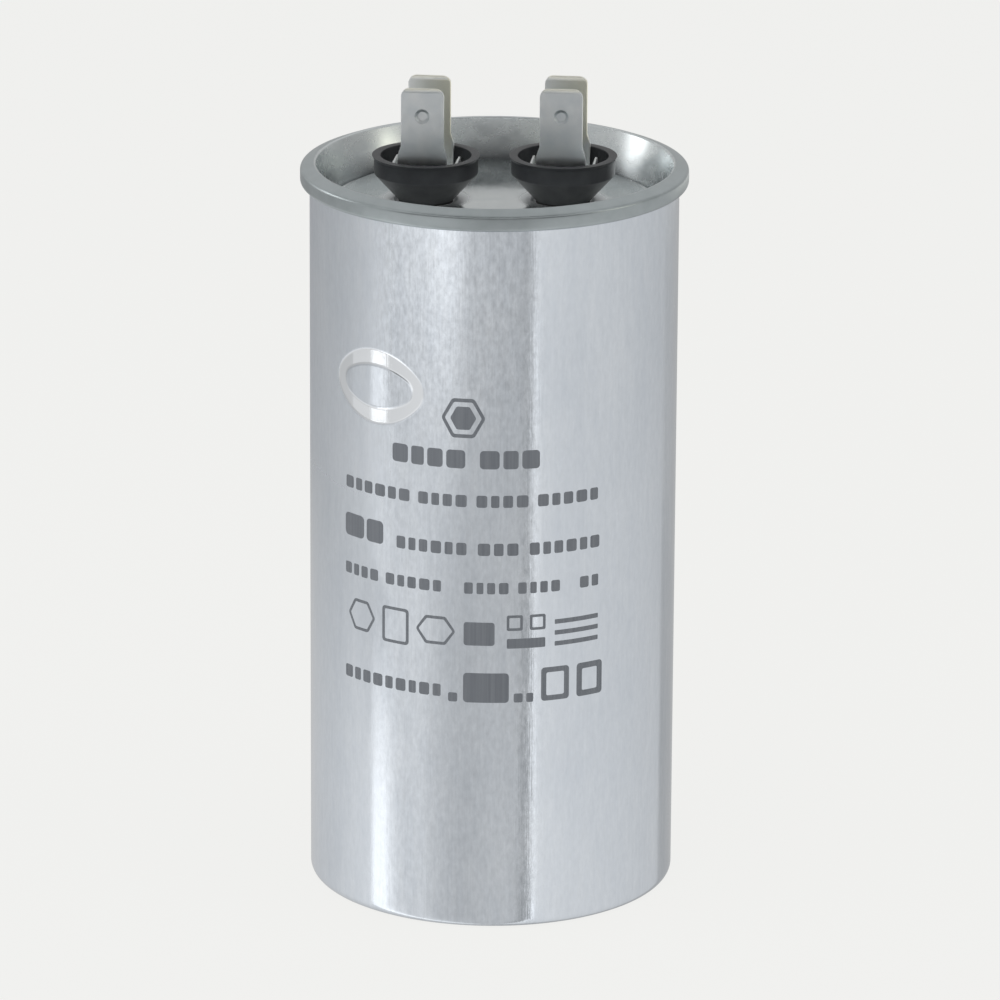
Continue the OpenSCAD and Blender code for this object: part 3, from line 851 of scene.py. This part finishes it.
def box_outline(u, v, width, height, corner):
    """Upright box round (u, v) with rounded corners."""
    return [(u + p[0], v + p[1]) for p in rounded([
        (-width / 2, -height / 2, corner), (width / 2, -height / 2, corner),
        (width / 2, height / 2, corner), (-width / 2, height / 2, corner)], 4, closed=True)]


def hexagon_outline(u, v, width, height, corner):
    """Six-sided shape round (u, v), as wide and high as given."""
    return [(u + p[0], v + p[1]) for p in rounded([
        (width / 2, 0, corner), (width / 4, height / 2, corner), (-width / 4, height / 2, corner),
        (-width / 2, 0, corner), (-width / 4, -height / 2, corner),
        (width / 4, -height / 2, corner)], 4, closed=True)]


def ink_patch(verts, faces, rings):
    """Adds one patch of ink on the wall, between rings of (arc length, height) points."""
    shape = bmesh.new()
    for ring in rings:
        corners = [shape.verts.new((u, v, 0)) for u, v in ring]
        for a, b in zip(corners, corners[1:] + corners[:1]):
            shape.edges.new((a, b))
    bmesh.ops.triangle_fill(shape, edges=shape.edges, use_beauty=True)
    here = min(v.co.x for v in shape.verts) + INK_STEP
    end = max(v.co.x for v in shape.verts)
    while here < end:
        everything = shape.verts[:] + shape.edges[:] + shape.faces[:]
        bmesh.ops.bisect_plane(shape, geom=everything, plane_co=(here, 0, 0), plane_no=(1, 0, 0))
        here += INK_STEP
    shape.verts.index_update()
    start = len(verts)
    for radius in (can_r + INK_PROUD, can_r - INK_SUNK):
        for vertex in shape.verts:
            turn = vertex.co.x / can_r
            verts.append((radius * math.sin(turn), -radius * math.cos(turn), vertex.co.y))
    under = start + len(shape.verts)
    for face in shape.faces:
        corners = [v.index for v in face.verts]
        faces.append([start + i for i in corners])
        faces.append([under + i for i in reversed(corners)])
    for edge in shape.edges:
        if len(edge.link_faces) == 1:
            a, b = (v.index for v in edge.verts)
            faces.append([start + a, start + b, under + b, under + a])
    shape.free()


# Rows of plain blocks: middle of the row and height of its blocks, their mean width, and the
# angles at which each group of blocks starts and ends
PRINT_ROWS = (
    (73.3, 2.8, 2.3, ((-32.5, -8.5), (-4.0, 14.5))),
    (66.9, 1.85, 1.45, ((-52.0, -26.5), (-23.5, -8.0), (-5.0, 11.0), (14.0, 34.3))),
    (60.3, 3.5, 2.9, ((-52.4, -36.0),)),
    (59.5, 1.9, 1.55, ((-31.0, -8.0), (-4.5, 8.0), (11.5, 35.0))),
    (53.5, 1.75, 1.35, ((-52.3, -38.0), (-35.0, -16.0), (-8.7, 5.0), (8.0, 21.3), (28.1, 34.7))),
    (37.3, 1.9, 1.45, ((-52.3, -16.0),)),
    (36.4, 1.4, 1.2, ((-13.6, -10.7), (6.8, 12.9))),
)
BLOCK_GAP = 0.55 * MM
BLOCK_WIDTHS = (1.1, 0.85, 1.0, 1.2, 0.9, 1.15, 0.8)
# Plain signs: angle, height of the middle, width, height, and the line's width, 0 if filled
PRINT_BOXES = (
    (-31.5, 46.4, 4.6, 5.6, 0.45),
    (-4.0, 46.4, 4.6, 3.6, 0.0),
    (7.0, 48.1, 2.4, 2.4, 0.4),
    (14.2, 48.1, 2.4, 2.4, 0.4),
    (10.6, 44.9, 5.8, 1.5, 0.0),
    (27.2, 47.9, 7.2, 0.7, 0.0),
    (27.2, 46.2, 7.2, 0.7, 0.0),
    (27.2, 44.5, 7.2, 0.7, 0.0),
    (-1.8, 38.0, 6.8, 4.6, 0.0),
    (20.0, 38.3, 4.4, 5.2, 0.8),
    (31.8, 38.3, 4.4, 5.2, 0.9),
)
PRINT_HEXAGONS = (
    (-9.2, 79.6, 6.6, 6.0, 0.55),
    (-9.2, 79.6, 3.9, 3.5, 0.0),
    (-45.0, 46.6, 5.6, 4.8, 0.45),
    (-17.8, 46.6, 6.2, 4.4, 0.45),
)


def block_row(verts, faces, middle, height, width, start, end):
    """Fills a row from start to end with blocks of uneven width."""
    count = max(1, round((end - start + BLOCK_GAP) / (width + BLOCK_GAP)))
    shares = [BLOCK_WIDTHS[i % len(BLOCK_WIDTHS)] for i in range(count)]
    scale = (end - start - BLOCK_GAP * (count - 1)) / sum(shares)
    here = start
    for share in shares:
        corner = min(share * scale, height) / 5
        outline = box_outline(here + share * scale / 2, middle, share * scale, height, corner)
        ink_patch(verts, faces, [outline])
        here += share * scale + BLOCK_GAP


def build_print():
    """All of the stencil print as one thin piece on the wall."""
    verts, faces = [], []
    for middle, height, width, groups in PRINT_ROWS:
        for start, end in groups:
            block_row(verts, faces, middle * MM, height * MM, width * MM, arc(start), arc(end))
    for shape, signs in ((box_outline, PRINT_BOXES), (hexagon_outline, PRINT_HEXAGONS)):
        for angle, middle, width, height, line in signs:
            corner = min(width, height) * 0.12 * MM
            rings = [shape(arc(angle), middle * MM, width * MM, height * MM, corner)]
            if line:
                rings.append(shape(arc(angle), middle * MM, (width - 2 * line) * MM,
                                   (height - 2 * line) * MM, corner / 2))
            ink_patch(verts, faces, rings)
    ink = finish_mesh("stencil_print", verts, faces)
    return place(ink, "aluminium_can", FINISHES["stencil_ink"])


# ---- Build ----------------------------------------------------------------------------------

def dress_frame():
    """Gives every CAD node the finish of its slot."""
    for entry in frame["record"]["subparts"]:
        for slot in frame["nodes"][entry["node"]].material_slots:
            slot.material = FINISHES[entry["material_slot"]]


dress_frame()
build_can()
build_lid()
build_print()
for side, x in (("left", -pitch / 2), ("right", pitch / 2)):
    build_cup(side, x)
    build_rivet(side, x)
    build_terminal(side)


# ---- Studio ---------------------------------------------------------------------------------

PALE = (0.871, 0.871, 0.855)
FLOOR_HALF = 4.0
# Share of the background's tone that the floor shows by itself; the rest takes the shadow
FLOOR_GLOW = 0.96


def seen_directly(owner):
    """1 for rays from the camera and through gloss or glass, 0 for the light on the object."""
    links = owner.node_tree.links
    path = add(owner, "ShaderNodeLightPath")
    value = path.outputs["Is Camera Ray"]
    for name in ("Is Glossy Ray", "Is Transmission Ray"):
        larger = add(owner, "ShaderNodeMath", operation="MAXIMUM")
        links.new(value, larger.inputs[0])
        links.new(path.outputs[name], larger.inputs[1])
        value = larger.outputs["Value"]
    return value


def build_world():
    """Pale background, and a soft fill on the object."""
    world = bpy.data.worlds.new("studio_world")
    bpy.context.scene.world = world
    world.use_nodes = True
    world.cycles.sampling_method = "NONE"
    tree = world.node_tree
    fill = tree.nodes["Background"]
    fill.inputs["Color"].default_value = (0.95, 0.97, 1.0, 1)
    fill.inputs["Strength"].default_value = 0.55
    shown = add(world, "ShaderNodeBackground")
    shown.inputs["Color"].default_value = (*PALE, 1)
    mix = add(world, "ShaderNodeMixShader")
    tree.links.new(seen_directly(world), mix.inputs["Fac"])
    tree.links.new(fill.outputs["Background"], mix.inputs[1])
    tree.links.new(shown.outputs["Background"], mix.inputs[2])
    tree.links.new(mix.outputs["Shader"], tree.nodes["World Output"].inputs["Surface"])


def stage_mesh(name, verts, faces, material):
    """Mesh of the studio, which is no part of the object."""
    mesh = bpy.data.meshes.new(name)
    mesh.from_pydata(verts, [], faces)
    mesh.materials.append(material)
    thing = in_scene(name, mesh)
    return thing


def build_floor():
    """Pale floor that keeps a soft shadow."""
    material, bsdf = shader("pale_floor", PALE, 0.9, specular=0.0)
    tree = material.node_tree
    glow = add(material, "ShaderNodeEmission")
    glow.inputs["Color"].default_value = (*PALE, 1)
    share = add(material, "ShaderNodeMath", operation="MULTIPLY")
    share.inputs[1].default_value = FLOOR_GLOW
    mix = add(material, "ShaderNodeMixShader")
    tree.links.new(seen_directly(material), share.inputs[0])
    tree.links.new(share.outputs["Value"], mix.inputs["Fac"])
    tree.links.new(bsdf.outputs["BSDF"], mix.inputs[1])
    tree.links.new(glow.outputs["Emission"], mix.inputs[2])
    tree.links.new(mix.outputs["Shader"], tree.nodes["Material Output"].inputs["Surface"])
    low = CAD_BOX[0].z - 0.02 * MM
    corners = [(-FLOOR_HALF, -FLOOR_HALF, low), (FLOOR_HALF, -FLOOR_HALF, low),
               (FLOOR_HALF, FLOOR_HALF, low), (-FLOOR_HALF, FLOOR_HALF, low)]
    floor = stage_mesh("floor", corners, [(0, 1, 2, 3)], material)
    floor.visible_glossy = False


# Light of the tent's wall below the horizon: azimuth, then the level at TENT_HEIGHTS. Azimuth 0
# is in front of the object and 90 to its right; heights are angles from the horizon, in degrees.
TENT_HEIGHTS = (-10.5, -13.0, -18.5, -22.5, -34.0)
TENT_WALL = (
    (-180.0, 0.42, 0.42, 0.51, 0.55, 0.53),
    (-159.0, 0.40, 0.43, 0.55, 0.60, 0.58),
    (-117.0, 0.45, 0.46, 0.62, 0.70, 0.68),
    (-92.0, 0.50, 0.51, 0.70, 0.81, 0.80),
    (-80.7, 0.57, 0.56, 0.66, 0.86, 0.86),
    (-78.7, 0.68, 0.68, 0.66, 1.38, 1.38),
    (-69.0, 0.72, 0.68, 0.68, 1.36, 1.36),
    (-67.5, 0.75, 0.68, 0.78, 1.06, 1.12),
    (-62.5, 0.80, 0.69, 0.78, 0.96, 1.00),
    (-61.0, 0.82, 0.69, 0.78, 0.84, 0.84),
    (-54.0, 0.86, 0.71, 0.78, 0.79, 0.79),
    (-42.0, 0.95, 0.74, 0.79, 0.78, 0.78),
    (-40.0, 1.00, 0.77, 0.70, 0.70, 0.70),
    (-29.0, 1.14, 0.79, 0.61, 0.62, 0.62),
    (-22.0, 1.00, 0.68, 0.58, 0.58, 0.60),
    (-15.0, 0.70, 0.60, 0.56, 0.56, 0.58),
    (0.0, 0.60, 0.56, 0.58, 0.61, 0.62),
    (17.0, 0.57, 0.54, 0.57, 0.60, 0.60),
    (17.8, 0.52, 0.47, 0.43, 0.40, 0.40),
    (24.2, 0.52, 0.47, 0.43, 0.40, 0.40),
    (24.8, 0.86, 1.15, 1.05, 1.25, 1.25),
    (27.2, 0.86, 1.15, 1.05, 1.25, 1.25),
    (27.8, 0.81, 0.77, 0.79, 0.84, 0.84),
    (48.0, 0.75, 0.72, 0.75, 0.79, 0.79),
    (66.0, 0.72, 0.69, 0.73, 0.76, 0.76),
    (85.0, 0.68, 0.66, 0.70, 0.73, 0.73),
    (107.0, 0.64, 0.63, 0.66, 0.68, 0.68),
    (131.0, 0.58, 0.58, 0.60, 0.64, 0.64),
    (134.0, 0.52, 0.52, 0.47, 0.45, 0.45),
    (158.0, 0.46, 0.46, 0.46, 0.46, 0.46),
    (180.0, 0.42, 0.42, 0.51, 0.55, 0.53),
)
# Above it: azimuth and half width, lowest and highest angle, softness, level and tint
TENT_UPPER = 0.62
TENT_PANELS = (
    (0, 60, -1, 32, 3, -0.42, (1, 1, 1)),
    (0, 75, 37, 41, 2, 1.1, (1, 1, 1)),
    (0, 60, 46, 66, 3, -0.52, (1, 1, 1)),
    (180, 100, 2, 50, 8, -0.06, (0.98, 1, 1.03)),
    (148, 20, 22, 60, 5, 0.12, (1, 1, 1)),
    (-148, 20, 22, 60, 5, 0.12, (1, 1, 1)),
    (108, 20, 2, 26, 5, -0.12, (1, 1, 1)),
    (160, 32, -8.6, -3, 1.0, 0.75, (1.0, 0.99, 0.90)),
    (-75, 6, -14.6, -12.4, 0.5, 0.60, (1, 1, 1)),
    (-89, 8, -14.6, -12.4, 0.5, 0.20, (1, 1, 1)),
    (-107, 10, -14.6, -12.4, 0.5, 0.06, (1, 1, 1)),
    (-70, 110, 76, 90, 3, -0.08, (1, 1, 1)),
    (76, 7, 12, 20, 3, 2.4, (1.0, 0.97, 0.78)),
    (-111, 9, 5, 9.5, 2.5, 0.8, (1.0, 0.97, 0.80)),
    (-109, 8, 10, 26, 4, 2.6, (1, 1, 1)),
)
TENT_R = 0.6
TENT_COLUMNS = 720


def between(marks, levels, value):
    """Level at value, in straight lines between the marks."""
    if value <= marks[0]:
        return levels[0]
    for i in range(len(marks) - 1):
        low, high = marks[i], marks[i + 1]
        if value <= high:
            return levels[i] + (levels[i + 1] - levels[i]) * (value - low) / (high - low)
    return levels[-1]


def tent_light(azimuth, elevation):
    """Light of the tent's wall in one direction."""
    around = [row[0] for row in TENT_WALL]
    falling = [-height for height in TENT_HEIGHTS]
    column = [between(around, [row[i] for row in TENT_WALL], azimuth)
              for i in range(1, len(TENT_HEIGHTS) + 1)]
    low = between(falling, column, -elevation)
    light = Vector((low + (TENT_UPPER - low) * smooth(-4, 5, elevation),) * 3)
    for middle, half, start, end, soft, level, tint in TENT_PANELS:
        away = abs((azimuth - middle + 180) % 360 - 180)
        share = smooth(half + soft, half - soft, away) * window(elevation, start, end, soft)
        light += Vector(tint) * level * share
    return light


def build_tent():
    """Light tent round the object, which only its gloss shows."""
    material = bpy.data.materials.new("tent_wall")
    material.use_nodes = True
    material.cycles.emission_sampling = "NONE"
    tree = material.node_tree
    tree.nodes.remove(tree.nodes["Principled BSDF"])
    glow = add(material, "ShaderNodeEmission")
    level = add(material, "ShaderNodeAttribute", attribute_name="light")
    tree.links.new(level.outputs["Color"], glow.inputs["Color"])
    tree.links.new(glow.outputs["Emission"], tree.nodes["Material Output"].inputs["Surface"])
    middle = Vector((0, 0, (CAN_LOW.z + CAN_HIGH.z) / 2))
    verts, lights, faces = [], [], []
    heights = spread(-89, -27, -7, 89, 0.6, 2)
    for elevation in heights:
        for i in range(TENT_COLUMNS):
            azimuth = -180 + 360 * i / TENT_COLUMNS
            verts.append(middle + direction(azimuth, elevation) * TENT_R)
            lights.append((*tent_light(azimuth, elevation), 1.0))
    for low in range(0, len(verts) - TENT_COLUMNS, TENT_COLUMNS):
        high = low + TENT_COLUMNS
        for i in range(TENT_COLUMNS):
            k = (i + 1) % TENT_COLUMNS
            faces.append((low + i, low + k, high + k, high + i))
    tent = stage_mesh("light_tent", verts, faces, material)
    layer = tent.data.color_attributes.new("light", "FLOAT_COLOR", "POINT")
    layer.data.foreach_set("color", [c for light in lights for c in light])
    for flag in ("camera", "diffuse", "transmission", "volume_scatter", "shadow"):
        setattr(tent, f"visible_{flag}", False)


def soft_lamp(name, azimuth, elevation, distance, size, strength, tint):
    """Square area lamp that faces the object and lights only matt surfaces."""
    lamp = bpy.data.lights.new(name, "AREA")
    lamp.shape = "SQUARE"
    lamp.size = size
    lamp.color = tint
    lamp.energy = strength
    thing = in_scene(name, lamp)
    away = direction(azimuth, elevation)
    thing.location = (CAD_BOX[0] + CAD_BOX[1]) / 2 + away * distance
    thing.rotation_mode = "QUATERNION"
    thing.rotation_quaternion = (-away).to_track_quat("-Z", "Y")
    thing.visible_glossy = False


def build_lamps():
    """Soft light from the top, the front and both sides."""
    soft_lamp("lamp_top", 0, 80, 1.2, 1.2, 6.0, (1.0, 1.0, 1.0))
    soft_lamp("lamp_front", -20, 20, 1.2, 0.7, 6.0, (1.0, 1.0, 1.0))
    soft_lamp("lamp_left", -75, 30, 1.2, 0.9, 4.0, (1.0, 1.0, 1.0))
    soft_lamp("lamp_right", 75, 30, 1.2, 0.9, 4.0, (1.0, 0.99, 0.97))


# Camera of the catalogue view
CAMERA_DISTANCE = 1.1026
CAMERA_ELEVATION = 17.667
CAMERA_ROLL = 0.334
CAMERA_LENS = 263.1
PIVOT = Vector((0, 0, 55 * MM))
AIM = Vector((1.09 * MM, 1.03 * MM, 58.22 * MM))


def build_camera():
    """Camera at the photograph's angle, without shift or depth of field."""
    data = bpy.data.cameras.new("camera")
    data.lens = CAMERA_LENS
    data.sensor_width = 36
    data.clip_start, data.clip_end = 0.05, 50
    camera = in_scene("camera", data)
    camera.location = PIVOT + direction(0, CAMERA_ELEVATION) * CAMERA_DISTANCE
    camera.rotation_mode = "QUATERNION"
    look = (AIM - camera.location).to_track_quat("-Z", "Y")
    camera.rotation_quaternion = look @ Quaternion((0, 0, 1), math.radians(CAMERA_ROLL))
    bpy.context.scene.camera = camera


build_world()
build_floor()
build_tent()
build_lamps()
build_camera()
bpy.context.scene.view_settings.view_transform = "Standard"
